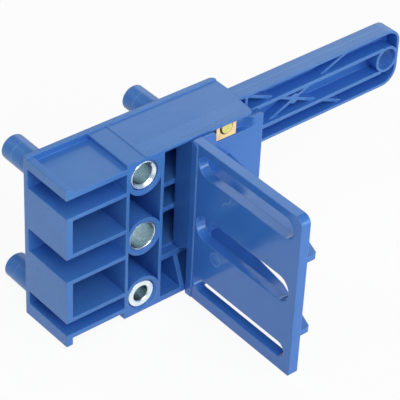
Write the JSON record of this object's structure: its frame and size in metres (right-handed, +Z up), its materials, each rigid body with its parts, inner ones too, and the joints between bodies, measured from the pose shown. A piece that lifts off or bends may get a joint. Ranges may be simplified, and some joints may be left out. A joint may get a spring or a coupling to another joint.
{
  "type": "doweling jig",
  "caption": "Moulded doweling jig with a long handle, steel drill bushes, gauge slots, locating pegs and a slotted side fence that slides on a clamped carriage.",
  "frame": {"origin": "centre of the jig's bounding box at the level it stands on, the bottom edge of the fence", "axes": "+X along the body towards the end of the handle, +Y from the drilling face to the pegs, +Z up from the underside"},
  "size_m": [0.1568, 0.0938, 0.0664],
  "materials": {
    "body_plastic": "satin",
    "fence_plastic": "satin",
    "bush_steel": "bright",
    "nut_metal": "satin",
    "screw_metal": "satin"
  },
  "bodies": {
    "jig": {"jig_body": "body_plastic", "bush_6mm": "bush_steel", "bush_8mm": "bush_steel", "bush_10mm": "bush_steel", "clamp_washer": "screw_metal"},
    "fence": {"fence": "fence_plastic"},
    "screw": {"clamp_screw": "screw_metal"},
    "nut": {"square_nut": "nut_metal"}
  },
  "joints": [
    {"name": "fence_slide", "type": "slide", "parent": "jig", "child": "fence", "axis": [1, 0, 0], "range_m": [-0.0045, 0.002]},
    {"name": "screw_turn", "type": "hinge", "parent": "jig", "child": "screw", "pos_m": [-0.0088, 0.0322, 0.05995], "axis": [0, 1, 0], "range_deg": [0, 360]},
    {"name": "nut_travel", "type": "slide", "parent": "jig", "child": "nut", "axis": [0, -1, 0], "range_m": [0, 0.00081]}
  ],
  "couplings": [
    {"joint": "nut_travel", "follows": "screw_turn", "m_per_rad": 0.00012732}
  ]
}
